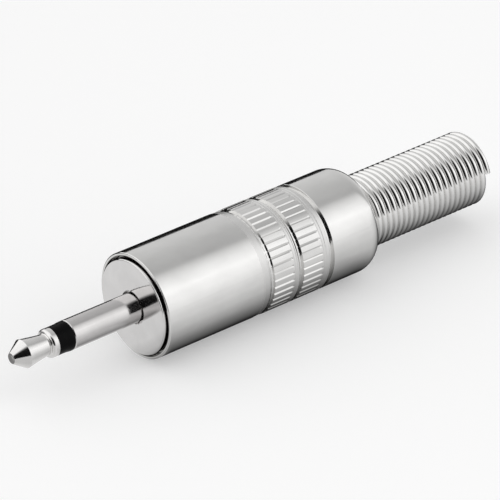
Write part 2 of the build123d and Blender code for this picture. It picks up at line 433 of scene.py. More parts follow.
class Graph:
    """A node tree with short ways to add the nodes that finishes, floor and room share."""

    def __init__(self, tree: bpy.types.NodeTree) -> None:
        """Empties a node tree.

        Args:
            tree: The tree of a material or of the world.
        """
        self.nodes = tree.nodes
        self.links = tree.links
        self.nodes.clear()

    def feed(self, socket: Socket, value: Feed) -> None:
        """Links another socket to a socket, or sets a plain value.

        Args:
            socket: The socket that is fed.
            value: The other socket or the value.
        """
        if isinstance(value, Socket):
            self.links.new(value, socket)
        else:
            socket.default_value = value

    def node(self, kind: str, inputs: dict[str | int, Feed], **settings: str) -> bpy.types.Node:
        """Adds a node.

        Args:
            kind: Type of the node, without its prefix.
            inputs: What feeds its inputs, by their name or number.
            settings: The node's own settings.

        Returns:
            The new node.
        """
        node = self.nodes.new("ShaderNode" + kind)
        for key, value in settings.items():
            setattr(node, key, value)
        for key, value in inputs.items():
            self.feed(node.inputs[key], value)
        return node

    def sum(self, way: str, *values: Feed) -> Socket:
        """Works out a Math node with this operation from its values."""
        return self.node("Math", dict(enumerate(values)), operation=way).outputs["Value"]

    def spread(self, value: Feed, span: Pair, low: Feed, high: Feed, soft: bool = False) -> Socket:
        """Maps a span of a value onto a range.

        Args:
            value: The value's socket.
            span: Its lowest and highest value that count.
            low: The result at the lowest value.
            high: The result at the highest value.
            soft: Whether the change starts and ends softly.

        Returns:
            The result's socket.
        """
        names = ("Value", "From Min", "From Max", "To Min", "To Max")
        inputs = dict(zip(names, (value, *span, low, high)))
        way = "SMOOTHSTEP" if soft else "LINEAR"
        return self.node("MapRange", inputs, interpolation_type=way).outputs["Result"]

    def profile(self, value: Feed, points: Steps) -> Socket:
        """Maps a value through a line of points.

        Args:
            value: The value's socket.
            points: Pairs of value and result, in rising order.

        Returns:
            The result's socket.
        """
        first, last = points[0][0], points[-1][0]
        top = max(result for _, result in points)
        ramp = self.node("ValToRGB", {"Fac": self.spread(value, (first, last), 0.0, 1.0)})
        stops = ramp.color_ramp.elements
        for place, result in points:
            share = (place - first) / (last - first)
            stop = stops[0] if share == 0 else stops[-1] if share == 1 else stops.new(share)
            stop.color = (result / top, result / top, result / top, 1)
        return self.sum("MULTIPLY", ramp.outputs["Color"], top)

    def split(self, vector: Socket) -> list[Socket]:
        """Gives the three parts of a vector."""
        return list(self.node("SeparateXYZ", {"Vector": vector}).outputs)


class Tree(Graph):
    """A material's node tree round one principled shader."""

    def __init__(self, name: str) -> None:
        """Makes a new material with its shader, output and object coordinates.

        Args:
            name: Name of the material.
        """
        self.material = bpy.data.materials.new(name)
        self.material.use_nodes = True
        super().__init__(self.material.node_tree)
        self.shader = self.node("BsdfPrincipled", {})
        self.output = self.node("OutputMaterial", {"Surface": self.shader.outputs["BSDF"]})
        self.place = self.node("TexCoord", {}).outputs["Object"]

    def set(self, **values: Feed) -> None:
        """Feeds the shader's own sockets, named with underscores for spaces."""
        for key, value in values.items():
            self.feed(self.shader.inputs[key.replace("_", " ")], value)

    def millimetres(self) -> list[Socket]:
        """Gives the place on the piece, as X, Y and Z in millimetres."""
        return [self.sum("DIVIDE", part, MM) for part in self.split(self.place)]

    def grain(self, per_mm: Triple, detail: float, rough: float = 0.55) -> Socket:
        """Adds noise in object coordinates.

        Args:
            per_mm: Waves per millimetre along X, Y and Z.
            detail: Number of finer octaves.
            rough: How strong the finer octaves are.

        Returns:
            The noise value's socket.
        """
        scale = [wave / MM for wave in per_mm]
        place = self.node("Mapping", {"Vector": self.place, "Scale": scale}).outputs["Vector"]
        inputs = {"Vector": place, "Scale": 1.0, "Detail": detail, "Roughness": rough}
        return self.node("TexNoise", inputs).outputs["Fac"]

    def tint(self, value: Socket, dark: Triple, light: Triple | Socket) -> Socket:
        """Blends two colours.

        Args:
            value: Share of the light colour.
            dark: The colour at 0.
            light: The colour at 1, or its socket.

        Returns:
            The blended colour's socket.
        """
        full = light if isinstance(light, Socket) else (*light, 1)
        inputs = {"Factor": value, "A": (*dark, 1), "B": full}
        return self.node("Mix", inputs, data_type="RGBA").outputs["Result"]

    def bump(self, height: Socket, depth_mm: float, strength: float) -> None:
        """Turns a height into bumps on the shader.

        Args:
            height: The height's socket, from 0 to 1.
            depth_mm: Depth of the bumps in millimetres.
            strength: Share of the bumps that shows.
        """
        inputs = {"Strength": strength, "Distance": depth_mm * MM, "Height": height}
        self.set(Normal=self.node("Bump", inputs).outputs["Normal"])


@dataclass(frozen=True)
class Plating:
    """Nickel or tin plate with turning marks round the plug, soft patches of haze and, where a mouth is
    given, painted shade inside the mouth.
    """

    name: str
    colour: Triple
    shade: float = 0.93
    roughness: float = 0.12
    haze: float = 0.05
    cloud_waves: Triple = (0.35, 0.55, 0.55)
    patch_waves: Triple = (0.9, 0.5, 0.5)
    marks_per_mm: float = 9.0
    marks_round: float = 0.12
    marks_rough: float = 0.7
    marks_depth: float = 0.0006
    matt_bands: Steps = ()
    matt_roughness: float = 0.36
    matt_marks: float = 3.0
    matt_fade: float = 0.02
    mouth_radius: float = 0.0
    mouth_end: float = 1.2
    mouth_fade: Pair = (0.04, 0.1)
    mouth_shade_colour: Triple = (0.2, 0.195, 0.185)

    def material(self) -> bpy.types.Material:
        """Builds the plate's material.

        Returns:
            The material.
        """
        tree = Tree(self.name)
        dark = tuple(channel * self.shade for channel in self.colour)
        clouds = tree.spread(tree.grain(self.cloud_waves, 3), NOISE, 0, 1)
        colour = tree.tint(clouds, dark, self.colour)
        # Painted shade: the bore inside the mouth is darkened so that the gap there shows no bright
        # reflections.
        if self.mouth_radius:
            colour = tree.tint(self.outside(tree), self.mouth_shade_colour, colour)
        low, high = self.roughness - self.haze / 2, self.roughness + self.haze / 2
        gloss = tree.spread(tree.grain(self.patch_waves, 5), NOISE, low, high)
        marks = tree.grain((self.marks_per_mm, self.marks_round, self.marks_round), 4, self.marks_rough)
        if self.matt_bands:
            matt = self.matt(tree)
            gloss = tree.spread(matt, WHOLE, gloss, self.matt_roughness)
            marks = tree.sum("MULTIPLY", marks, tree.spread(matt, WHOLE, 1.0, self.matt_marks))
        tree.set(Metallic=1.0, Base_Color=colour, Roughness=gloss)
        tree.bump(marks, self.marks_depth, 1.0)
        return tree.material

    def outside(self, tree: Tree) -> Socket:
        """Tells the inside of the mouth, which gets painted shade, from the rest.

        Args:
            tree: The material's nodes.

        Returns:
            A socket with 0 inside the mouth and 1 elsewhere.
        """
        x, y, z = tree.millimetres()
        square = tree.sum("ADD", tree.sum("MULTIPLY", y, y), tree.sum("MULTIPLY", z, z))
        outward, inward = self.mouth_fade
        span = (self.mouth_radius, self.mouth_radius + outward)
        beyond = tree.spread(tree.sum("SQRT", square), span, 0.0, 1.0)
        behind = tree.spread(x, (self.mouth_end, self.mouth_end + inward), 0.0, 1.0)
        return tree.sum("MAXIMUM", beyond, behind)

    def matt(self, tree: Tree) -> Socket:
        """Tells the bands that the turning tool left matt from the rest.

        Args:
            tree: The material's nodes.

        Returns:
            A socket with 1 on the bands and 0 elsewhere.
        """
        station = tree.millimetres()[0]
        total: Feed = 0.0
        for start, end in self.matt_bands:
            entered = tree.spread(station, (start - self.matt_fade, start), 0.0, 1.0)
            left = tree.spread(station, (end, end + self.matt_fade), 1.0, 0.0)
            total = tree.sum("ADD", total, tree.sum("MULTIPLY", entered, left))
        return total


@dataclass(frozen=True)
class Moulding:
    """Moulded plastic with a faint orange peel."""

    name: str
    colour: Triple
    shade: float = 0.8
    roughness: float = 0.18
    wipe: Pair = (0.75, 1.35)
    ior: float = 1.5
    transmission: float = 0.0
    subsurface: float = 0.0
    subsurface_radius: Triple = (0.0006, 0.0006, 0.0006)
    cloud_waves: Triple = (0.7, 0.7, 0.7)
    wipe_waves: Triple = (2.5, 1.1, 1.1)
    peel_waves: Triple = (5.0, 5.0, 5.0)
    peel_depth: float = 0.002
    peel_strength: float = 0.6

    def material(self) -> bpy.types.Material:
        """Builds the plastic's material.

        Returns:
            The material.
        """
        tree = Tree(self.name)
        dark = tuple(channel * self.shade for channel in self.colour)
        clouds = tree.spread(tree.grain(self.cloud_waves, 3), NOISE, 0, 1)
        low, high = (self.roughness * share for share in self.wipe)
        tree.set(
            Metallic=0.0,
            IOR=self.ior,
            Transmission_Weight=self.transmission,
            Subsurface_Weight=self.subsurface,
            Subsurface_Radius=self.subsurface_radius,
            Base_Color=tree.tint(clouds, dark, self.colour),
            Roughness=tree.spread(tree.grain(self.wipe_waves, 5), NOISE, low, high),
        )
        tree.bump(tree.grain(self.peel_waves, 2), self.peel_depth, self.peel_strength)
        return tree.material


POLISHED_NICKEL = Plating(
    "polished nickel",
    (0.80, 0.795, 0.785),
    matt_bands=((9.82, 10.47), (12.98, 13.45), (15.96, 16.62)),
    # The bore inside this mouth gets painted shade.
    mouth_radius=4.26,
)
PIN_NICKEL = Plating(
    "pin nickel", (0.70, 0.685, 0.68), shade=0.9, roughness=0.14, haze=0.08, marks_per_mm=7.0
)
TIP_NICKEL = Plating("tip nickel", (0.82, 0.81, 0.80), shade=0.88, roughness=0.13, haze=0.08)
FACE_NICKEL = Plating("face nickel", (0.79, 0.78, 0.775), roughness=0.1, marks_per_mm=5.0)
SPRING_NICKEL = Plating(
    "spring nickel", (0.84, 0.835, 0.825), roughness=0.07, haze=0.03, marks_per_mm=2.0
)
DULL_TIN = Plating(
    "dull tin",
    (0.62, 0.61, 0.59),
    shade=0.8,
    roughness=0.34,
    haze=0.14,
    marks_per_mm=3.0,
    marks_depth=0.002,
)
BLACK_PLASTIC = Moulding("black plastic", (0.002, 0.002, 0.0022), roughness=0.28, ior=1.16)
LINER_PLASTIC = Moulding(
    "liner plastic", (0.86, 0.86, 0.84), roughness=0.38, transmission=0.35, subsurface=0.25
)


def hand_over(piece: Piece, finish: Plating | Moulding, body: Body, node: str) -> None:
    """Dresses a piece, lets it ride on its body and stand for its node.

    Args:
        piece: The finished mesh.
        finish: Its finish.
        body: The body that it moves with.
        node: The node that it stands for.
    """
    clear_bench()
    piece.data.materials.clear()
    piece.data.materials.append(finish.material())
    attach(piece, body.value)
    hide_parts(node)
    log.info("%s: %d faces on %s", piece.name, len(piece.data.polygons), body.value)


# Sub-assemblies


@dataclass
class Pin:
    """The bare pin: pointed tip contact, black ring and plain sleeve."""

    radius: float = 1.248
    steps: int = 112
    nose_end: float = -11.895
    nose_flat: float = 0.45
    nose_dish: Steps = ((0.03, 0.0), (0.02, 0.45), (0.0, 0.72), (0.0, 1.0))
    nose_corner: float = -10.78
    nose_radius: float = 1.198
    neck_back: float = -8.63
    neck_radius: float = 0.88
    neck_sag: float = 0.012
    neck_fillet: float = 0.08
    fillet_turns: tuple[int, ...] = (15, 30, 45, 60, 75)
    collar_front: float = -8.36
    collar_radius: float = 1.208
    ring_front: float = -8.03
    ring_step: float = 1.198
    ring_rise: Pair = (0.72, 1.32)
    ring_seam: float = 0.4
    sleeve_front: float = -6.53
    sleeve_cone: float = 0.08
    sleeve_bore: float = 0.84
    sleeve_seam: float = 0.5
    seat_cone: float = 0.2
    seat_start: float = 0.75
    seat_radius: float = 1.45
    seat_end: float = 3.0
    tube_radius: float = 0.82
    tube_bore: float = 0.52
    rod_radius: float = 0.50
    rivet_seat: float = 6.20
    rivet_end: float = 6.50
    rivet_radius: float = 0.85
    rivet_crown: Steps = ((-0.12, 0.85), (-0.02, 0.65), (0.0, 0.25), (-0.02, 0.0))

    def neck(self) -> Outline:
        """Gives the side of the neck, the hollow behind it and the collar's rounded front.

        Returns:
            Points from the nose's corner to the collar.
        """
        fillet = self.neck_fillet
        neck_end = self.neck_back - fillet
        narrowing = self.neck_radius - self.nose_radius
        points = [
            (
                self.nose_corner + (neck_end - self.nose_corner) * t,
                self.nose_radius + narrowing * t - self.neck_sag * sin(pi * t),
            )
            for t in FIFTHS
        ]
        points += [
            (neck_end + fillet * sin(radians(turn)), self.neck_radius + fillet * (1 - cos(radians(turn))))
            for turn in self.fillet_turns
        ]
        foot = self.neck_radius + fillet
        points += [
            (
                self.neck_back + (self.collar_front - self.neck_back) * (1 - cos(pi / 2 * t)),
                foot + (self.collar_radius - foot) * sin(pi / 2 * t),
            )
            for t in SIXTHS
        ]
        return points

    def tip(self) -> Piece:
        """Turns the nose, neck, collar and riveted rod in one piece.

        Returns:
            The tip contact.
        """
        outline = [
            *((self.nose_end + behind, self.nose_flat * share) for behind, share in self.nose_dish),
            *self.neck(),
            (self.ring_front, self.collar_radius),
            *stepped(self.ring_front, self.rod_radius, self.rivet_seat, self.rivet_radius),
            *((self.rivet_end + behind, radius) for behind, radius in self.rivet_crown),
        ]
        return turned_part("tip_contact_detail", outline, Corner.BROKEN, self.steps)

    def ring(self) -> Piece:
        """Turns the black ring with its waist and the tube behind it.

        Returns:
            The tip insulator.
        """
        rise_start, rise_end = (self.ring_front + behind for behind in self.ring_rise)
        widening = self.radius - self.ring_step
        seam = self.ring_front + self.ring_seam
        outline = [
            *stepped(seam, self.tube_bore, self.ring_front, self.ring_step),
            *(
                (rise_start + (rise_end - rise_start) * t, self.ring_step + widening * (3 * t**2 - 2 * t**3))
                for t in FIFTHS
            ),
            (self.sleeve_front, self.radius),
            *stepped(self.sleeve_front, self.tube_radius, self.seat_end, self.tube_bore, seam),
        ]
        return turned_part("tip_insulator_detail", outline, Corner.SOFT, self.steps)

    def sleeve(self) -> Piece:
        """Turns the plain tube of the pin with its coned seat.

        Returns:
            The pin's sleeve.
        """
        seam = self.sleeve_front + self.sleeve_seam
        outline = [
            *stepped(seam, self.sleeve_bore, self.sleeve_front, self.radius - self.sleeve_cone),
            *stepped(self.sleeve_front + self.sleeve_cone, self.radius, self.seat_start - self.seat_cone),
            *stepped(self.seat_start, self.seat_radius, self.seat_end, self.sleeve_bore, seam),
        ]
        return turned_part("pin_sleeve_detail", outline, Corner.BROKEN, self.steps)

    def build(self) -> None:
        """Builds and dresses the pin's three pieces."""
        hand_over(self.tip(), TIP_NICKEL, Body.PLUG, "tip_contact")
        hand_over(self.ring(), BLACK_PLASTIC, Body.PLUG, "tip_insulator")
        hand_over(self.sleeve(), PIN_NICKEL, Body.PLUG, "pin_sleeve")


@dataclass
class PlugBody:
    """The bevelled flange with its thread and the bush behind it."""

    steps: int = 192
    seam: float = 1.5
    flange_radius: float = 4.045
    flange_round: float = 0.09
    flange_thickness: float = 1.20
    recess_radius: float = 1.41
    recess_flare: float = 0.02
    recess_depth: float = 0.50
    lip_radius: float = 1.28
    lip_slope: Pair = (0.06, 0.24)
    bore: float = 1.47
    relief_radius: float = 3.467
    thread_start: float = 1.94
    thread_turns: float = 4.84
    thread_radius: float = 3.765
    body_back: float = 4.60
    back_cone: float = 0.12
    boss_radius: float = 2.02
    boss_back: float = 5.20
    counterbore: float = 1.67
    seat_end: float = 3.0
    bush_steps: int = 96
    bush_seam: float = 4.0
    spigot_radius: float = 1.65
    washer_radius: float = 2.22
    washer_back: float = 5.85
    tube_bore: float = 0.52

    def flange(self) -> Piece:
        """Turns the body and winds its thread.

        Returns:
            The plug body.
        """
        lip_back, slope_back = (self.recess_depth + behind for behind in self.lip_slope)
        seat = (self.counterbore, self.seat_end, self.bore, self.seam)
        outline = [
            (self.seam, self.bore),
            (slope_back, self.bore),
            *stepped(lip_back, self.lip_radius, self.recess_depth, self.recess_radius),
            (0.0, self.recess_radius + self.recess_flare),
            *rounded_edge(0.0, self.flange_radius, self.flange_round),
            (self.flange_thickness, self.flange_radius),
            *stepped(self.flange_thickness, self.relief_radius, self.body_back - self.back_cone),
            (self.body_back, self.relief_radius - self.back_cone),
            *stepped(self.body_back, self.boss_radius, self.boss_back, *seat),
        ]
        piece = turned("plug_body_detail", softened(outline, Corner.KEEN), self.steps)
        thread = (self.relief_radius, self.thread_radius, self.thread_start, self.thread_turns)
        add_thread(piece, "body_thread", *thread)
        smooth(piece)
        return piece

    def bush(self) -> Piece:
        """Turns the shouldered bush behind the body.

        Returns:
            The rear insulator.
        """
        spigot = (self.seat_end, self.spigot_radius, self.boss_back)
        washer = (self.washer_radius, self.washer_back)
        outline = stepped(self.bush_seam, self.tube_bore, *spigot, *washer, self.tube_bore, self.bush_seam)
        return turned_part("rear_insulator_detail", outline, Corner.SOFT, self.bush_steps)

    def build(self) -> None:
        """Builds and dresses the body and its bush."""
        hand_over(self.flange(), FACE_NICKEL, Body.PLUG, "plug_body")
        hand_over(self.bush(), BLACK_PLASTIC, Body.PLUG, "rear_insulator")


@dataclass
class SolderTags:
    """The stamped tip tag and the sleeve tag with its cable clamp."""

    thickness: float = 0.35
    bend: float = 0.15
    edge: float = 0.02
    join_gap: float = 0.02
    speck: float = 0.002
    flat_angle: float = 0.6
    sharp_angle: float = 40.0
    foot: float = 0.4
    tip_front: float = 5.85
    tip_ring: float = 1.45
    tip_sides: int = 64
    tip_hole: float = 0.53
    tip_width: float = 1.60
    tip_end: float = 10.50
    tip_eye: float = 0.40
    sleeve_front: float = 4.60
    sleeve_ring: float = 2.47
    sleeve_sides: int = 96
    sleeve_hole: float = 2.04
    sleeve_width: float = 2.20
    sleeve_eye: float = 0.60
    sleeve_eye_centre: float = 8.80
    clamp_front: float = 13.20
    clamp_back: float = 15.80
    clamp_lap: float = 0.1
    clamp_inner: float = 2.62
    clamp_outer: float = 2.97
    clamp_steps: int = 40
    finger_height: float = 1.00
    finger_round: float = 0.60
    cutter_width: float = 8.0
    cutter_margin: Pair = (0.5, 0.6)

    def strip(self, front: float, ring: float, end: float, width: float, side: int) -> Piece:
        """Makes the bent strip that leaves a ring and runs back along the plug.

        Args:
            front: Station of the ring's front face.
            ring: Radius where the strip leaves the ring.
            end: Station where the strip ends.
            width: Width of the strip.
            side: 1 above the axis and -1 below it.

        Returns:
            The strip.
        """
        outer = self.bend + self.thickness
        path = [
            (front, ring - self.foot),
            *((front + outer * (1 - cos(turn)), ring + outer * sin(turn)) for turn in quarter()),
            (end, ring + outer),
            (end, ring + self.bend),
            *((front + outer - self.bend * sin(turn), ring + self.bend * cos(turn)) for turn in quarter()),
            (front + self.thickness, ring - self.foot),
        ]
        corners = [Vector((x, -width / 2, side * r)) for x, r in path]
        return slab("strip", corners, Vector((0, width, 0)))

    def finish(self, piece: Piece) -> Piece:
        """Clears the joins of a tag, breaks its stamped edges and shades it.

        Args:
            piece: The joined and cut tag.

        Returns:
            The same tag.
        """
        merge_near(piece, self.join_gap)
        bpy.ops.mesh.dissolve_limited(angle_limit=radians(self.flat_angle))
        close_skin()
        apply_modifier(
            piece,
            "BEVEL",
            width=self.edge * MM,
            segments=2,
            limit_method="ANGLE",
            angle_limit=radians(self.sharp_angle),
            use_clamp_overlap=False,
        )
        merge_near(piece, self.speck)
        close_skin()
        smooth(piece)
        return piece

    def tip_tag(self) -> Piece:
        """Makes the round-ended tag under the rivet.

        Returns:
            The tip tag.
        """
        middle = Vector((self.tip_front + self.thickness / 2, 0, 0))
        level = self.tip_ring + self.bend + self.thickness / 2
        lug = Vector((self.tip_end - self.tip_width / 2, 0, level))
        through = 2 * self.thickness
        piece = rod("tip_tag_detail", middle, ALONG, self.tip_ring, self.thickness, self.tip_sides)
        combine(piece, self.strip(self.tip_front, self.tip_ring, lug.x, self.tip_width, 1), "UNION")
        combine(piece, rod("lug", lug, UPWARD, self.tip_width / 2, self.thickness), "UNION")
        combine(piece, rod("eye", lug, UPWARD, self.tip_eye, through), "DIFFERENCE")
        combine(piece, rod("hole", middle, ALONG, self.tip_hole, through), "DIFFERENCE")
        return self.finish(piece)

    def sleeve_tag(self) -> Piece:
        """Makes the ring, the strip with its solder hole and the open clamp.

        Returns:
            The sleeve tag.
        """
        middle = Vector((self.sleeve_front + self.thickness / 2, 0, 0))
        eye = Vector((self.sleeve_eye_centre, 0, -(self.clamp_inner + self.thickness / 2)))
        end, through = self.clamp_front + self.clamp_lap, 2 * self.thickness
        sides = self.sleeve_sides
        piece = rod("sleeve_tag_detail", middle, ALONG, self.sleeve_ring, self.thickness, sides)
        combine(piece, self.strip(self.sleeve_front, self.sleeve_ring, end, self.sleeve_width, -1), "UNION")
        combine(piece, self.clamp(), "UNION")
        combine(piece, rod("eye", eye, UPWARD, self.sleeve_eye, through), "DIFFERENCE")
        combine(piece, rod("hole", middle, ALONG, self.sleeve_hole, through, sides), "DIFFERENCE")
        return self.finish(piece)

    def clamp(self) -> Piece:
        """Makes the open clamp with its two round-cornered fingers.

        Returns:
            The clamp.
        """
        lift = degrees(atan2(self.finger_height, self.clamp_outer))
        first, last, count = -180 - lift, lift, self.clamp_steps
        angles = [radians(first + (last - first) * n / count) for n in range(count + 1)]
        rim = [(self.clamp_outer, angle) for angle in angles]
        rim += [(self.clamp_inner, angle) for angle in reversed(angles)]
        corners = [Vector((self.clamp_front, r * cos(a), r * sin(a))) for r, a in rim]
        piece = slab("clamp", corners, Vector((self.clamp_back - self.clamp_front, 0, 0)))
        reach, low = self.finger_round, self.finger_height - self.finger_round
        over = self.finger_height + self.cutter_margin[1]
        for station, ahead in ((self.clamp_front, 1), (self.clamp_back, -1)):
            beside = station - ahead * self.cutter_margin[0]
            path = [
                (beside, over),
                (beside, low),
                *((station + ahead * reach * (1 - cos(t)), low + reach * sin(t)) for t in quarter()),
                (station + ahead * reach, over),
            ]
            corners = [Vector((x, -self.cutter_width / 2, z)) for x, z in path]
            combine(piece, slab("round", corners, Vector((0, self.cutter_width, 0))), "DIFFERENCE")
        return piece

    def build(self) -> None:
        """Builds and dresses both tags."""
        hand_over(self.tip_tag(), DULL_TIN, Body.PLUG, "tip_tag")
        hand_over(self.sleeve_tag(), DULL_TIN, Body.PLUG, "sleeve_tag")


@dataclass
class Liner:
    """The thin insulating tube between the tags and the barrel."""

    front: float = 5.50
    back: float = 19.75
    radius: float = 3.565
    bore: float = 3.269
    seam: float = 12.0
    steps: int = 144

    def build(self) -> None:
        """Builds and dresses the liner with its cut ends slightly rounded."""
        tube = (self.front, self.radius, self.back)
        outline = stepped(self.seam, self.bore, *tube, self.bore, self.seam)
        piece = turned_part("insulating_liner_detail", outline, Corner.SOFT, self.steps)
        hand_over(piece, LINER_PLASTIC, Body.LINER, "insulating_liner")


@dataclass
class Barrel:
    """The turned cover with two straight-knurled bands, plain rings, grooves and a shoulder.

    Fields of type Steps hold pairs of a distance along the barrel and a depth below its outside.
    """

    radius: float = 4.494
    knurls: int = 44
    steps_per_knurl: int = 12
    knurl_phase: float = 3.8
    cut_half_angle: float = 1.36
    cut_depths: Pair = (0.085, 0.07)
    least_cut: float = 0.0005
    runout: float = 0.26
    runout_power: float = 1.5
    runout_rows: Triple = (0.09, 0.17, 0.22)
    plain_rows: Triple = (0.0, 0.05, 0.7)
    rim: float = 0.30
    rim_round: float = 0.08
    mouth: float = 4.235
    mouth_depth: float = 1.25
    seam: float = 0.9
    front_groove: float = 10.47
    taper: float = 0.65
    taper_steps: Steps = ((-0.02, 0.0), (0.02, 0.012), (0.09, 0.010), (0.12, 0.018))
    front_lip: Steps = ((-0.10, 0.040), (0.0, 0.070))
    front_slope: float = 0.20
    groove_depths: Triple = (0.14, 0.21, 0.25)
    band_starts: Pair = (10.92, 13.90)
    knurl_width: float = 2.06
    ring_widths: Pair = (0.47, 0.66)
    ring_steps: Steps = (
        (0.03, 0.010), (0.06, 0.010), (0.07, 0.0), (0.25, 0.0),
        (0.27, 0.018), (0.30, 0.018), (0.32, 0.004), (0.37, 0.0),
    )
    ring_lip: Steps = ((-0.04, 0.008), (0.0, 0.035))
    middle_slope: float = 0.20
    rear_groove: Triple = (0.10, 0.42, 0.44)
    rear_lip: Pair = (0.46, 0.02)
    shoulder_start: float = 20.95
    shoulder_steps: int = 14
    end: float = 22.517
    guard_hole: float = 3.209
    wall_front: float = 21.17
    bore: float = 3.619
    bore_front: float = 5.30
    thread_root: float = 3.96
    thread_crest: float = 3.82
    thread_start: float = 1.60
    thread_turns: float = 6.2
    shade_angle: float = 24.0

    def below(self, station: float, steps: Steps) -> Outline:
        """Gives points of the outside from distances behind a station and depths."""
        return [(station + along, self.radius - depth) for along, depth in steps]

    def bands(self) -> Outline:
        """Gives the outline of the knurled bands with the rings and grooves behind them.

        Returns:
            Points from the first band to the end of the last groove.
        """
        full = self.knurl_width - self.runout
        rows = [*self.plain_rows, full, *(full + row for row in self.runout_rows), self.knurl_width]
        middle, rear = self.groove_depths[1:]
        points = []
        for start, ring_width in zip(self.band_starts, self.ring_widths):
            ring = start + self.knurl_width
            points += self.below(start, [(row, 0.0) for row in rows])
            points += self.below(ring, self.ring_steps)
            groove = ring + ring_width
            points += self.below(groove, self.ring_lip)
            if start == self.band_starts[0]:
                points += self.below(groove, [(self.middle_slope, middle)])
                points += self.below(self.band_starts[1], [(0.0, middle)])
        slope_end, floor_end, wall = self.rear_groove
        top, lip = self.rear_lip
        return points + self.below(groove, [(slope_end, rear), (floor_end, rear), (wall, lip), (top, 0.0)])

    def outline(self) -> Outline:
        """Gives the side outline from the mouth over the outside to the bore and back.

        Returns:
            The closed outline.
        """
        top, front_low = self.radius, self.groove_depths[0]
        front = [
            (self.seam, self.mouth),
            (self.rim, self.mouth),
            *rounded_edge(self.rim, top, self.rim_round),
            *self.below(self.front_groove - self.taper, self.taper_steps),
            *self.below(self.front_groove, [*self.front_lip, (self.front_slope, front_low)]),
            *self.below(self.band_starts[0], [(0.0, front_low)]),
        ]
        points = softened(front, Corner.BROKEN, 2) + self.bands() + [(self.shoulder_start, top)]
        length, drop = self.end - self.shoulder_start, top - self.guard_hole
        round_radius = (length**2 + drop**2) / (2 * drop)
        sweep = 2 * atan2(drop, length)
        for step in range(1, self.shoulder_steps + 1):
            angle = sweep * step / self.shoulder_steps
            points += self.below(
                self.shoulder_start, [(round_radius * sin(angle), round_radius * (1 - cos(angle)))]
            )
        wall = (self.wall_front, self.bore, self.bore_front)
        inside = stepped(*points[-1], *wall, self.thread_root, self.mouth_depth, self.mouth, self.seam)
        return points[:-1] + softened(inside, Corner.BROKEN, 2)

    def depth_at(self, point: Vector) -> float:
        """Gives how deep a knurl cut is at a point.

        Args:
            point: A point of the barrel, in millimetres.

        Returns:
            The depth in millimetres, and 0 away from the cuts.
        """
        on_top, on_band = 0.002, 0.001
        if abs(hypot(point.y, point.z) - self.radius) >= on_top:
            return 0.0
        pitch = 360 / self.knurls
        offset = (degrees(atan2(point.z, point.y)) - self.knurl_phase + pitch / 2) % pitch - pitch / 2
        across = max(0.0, 1 - abs(offset) / self.cut_half_angle)
        for start, cut_depth in zip(self.band_starts, self.cut_depths):
            if start - on_band <= point.x <= start + self.knurl_width + on_band:
                behind = point.x - (start + self.knurl_width - self.runout)
                share = 1.0 if behind <= 0 else max(0.0, 1 - (behind / self.runout) ** self.runout_power)
                return round(cut_depth * across * share, 4)
        return 0.0

    def cut_knurl(self, piece: Piece) -> None:
        """Presses the V cuts into both bands, one depth at a time.

        Args:
            piece: The turned barrel.
        """
        depths = [self.depth_at(point.co / MM) for point in piece.data.vertices]
        for depth in sorted({each for each in depths if each > self.least_cut}):
            select_points(piece, [each == depth for each in depths])
            share = (self.radius - depth) / self.radius
            bpy.ops.transform.resize(value=(1, share, share), center_override=(0, 0, 0))
            bpy.ops.object.mode_set(mode="OBJECT")

    def build(self) -> None:
        """Builds and dresses the barrel."""
        steps = self.knurls * self.steps_per_knurl
        piece = turned("barrel_detail", self.outline(), steps, 90 + self.knurl_phase)
        self.cut_knurl(piece)
        thread = (self.thread_root, self.thread_crest, self.thread_start, self.thread_turns)
        add_thread(piece, "barrel_thread", *thread)
        smooth(piece, self.shade_angle)
        hand_over(piece, POLISHED_NICKEL, Body.COVER, "barrel")


@dataclass
class SpringGuard:
    """The close coil whose first turns flare out in front of the barrel's rear wall."""

    wire: float = 0.276
    coil: float = 2.862
    lead: float = 0.558
    front: float = 20.2125
    end: float = 34.88
    end_angle: float = 166.0
    flare_turns: float = 1.25
    flare_growth: float = 0.36
    sides: int = 16
    steps_per_turn: int = 64
    shade_angle: float = 50.0
    grip_radius: float = 1.08
    grip_length: float = 0.02

    def build(self) -> None:
        """Builds and dresses the coil."""
        turns = (self.end - self.front) / self.lead
        start_angle = radians(self.end_angle - 360 * turns)
        outward = Vector((0, cos(start_angle), sin(start_angle)))
        middle = Vector((self.front, 0, 0)) + outward * self.coil
        section = [
            middle + (ALONG * cos(a) + outward * sin(a)) * self.wire
            for a in (2 * pi * n / self.sides for n in range(self.sides))
        ]
        piece = start_loop("strain_spring_detail", section, filled=False)
        wind(piece, turns, self.lead, self.steps_per_turn)
        self.flare(piece, start_angle)
        smooth(piece, self.shade_angle)
        hand_over(piece, SPRING_NICKEL, Body.GUARD, "strain_spring")

    def flare(self, piece: Piece, start_angle: float) -> None:
        """Moves the first turns outward, one short length at a time.

        Args:
            piece: The coil.
            start_angle: Angle of the front end of the coil, in radians.
        """
        for length in range(round(self.flare_turns * self.steps_per_turn)):
            turn = length / self.steps_per_turn
            angle = start_angle + 2 * pi * turn
            outward = Vector((0, cos(angle), sin(angle)))
            around = Vector((0, -sin(angle), cos(angle)))
            middle = Vector((self.front + self.lead * turn, 0, 0)) + outward * self.coil
            offsets = [point.co / MM - middle for point in piece.data.vertices]
            select_points(piece, [self.held(offset, around) for offset in offsets])
            growth = self.flare_growth * (1 - turn / self.flare_turns)
            bpy.ops.transform.translate(value=outward * growth * MM)
            bpy.ops.object.mode_set(mode="OBJECT")

    def held(self, offset: Vector, around: Vector) -> bool:
        """Tells whether a point this far from the middle of a short length of wire lies on it."""
        near = offset.length < self.wire * self.grip_radius
        return near and abs(offset.dot(around)) < self.grip_length


# Studio


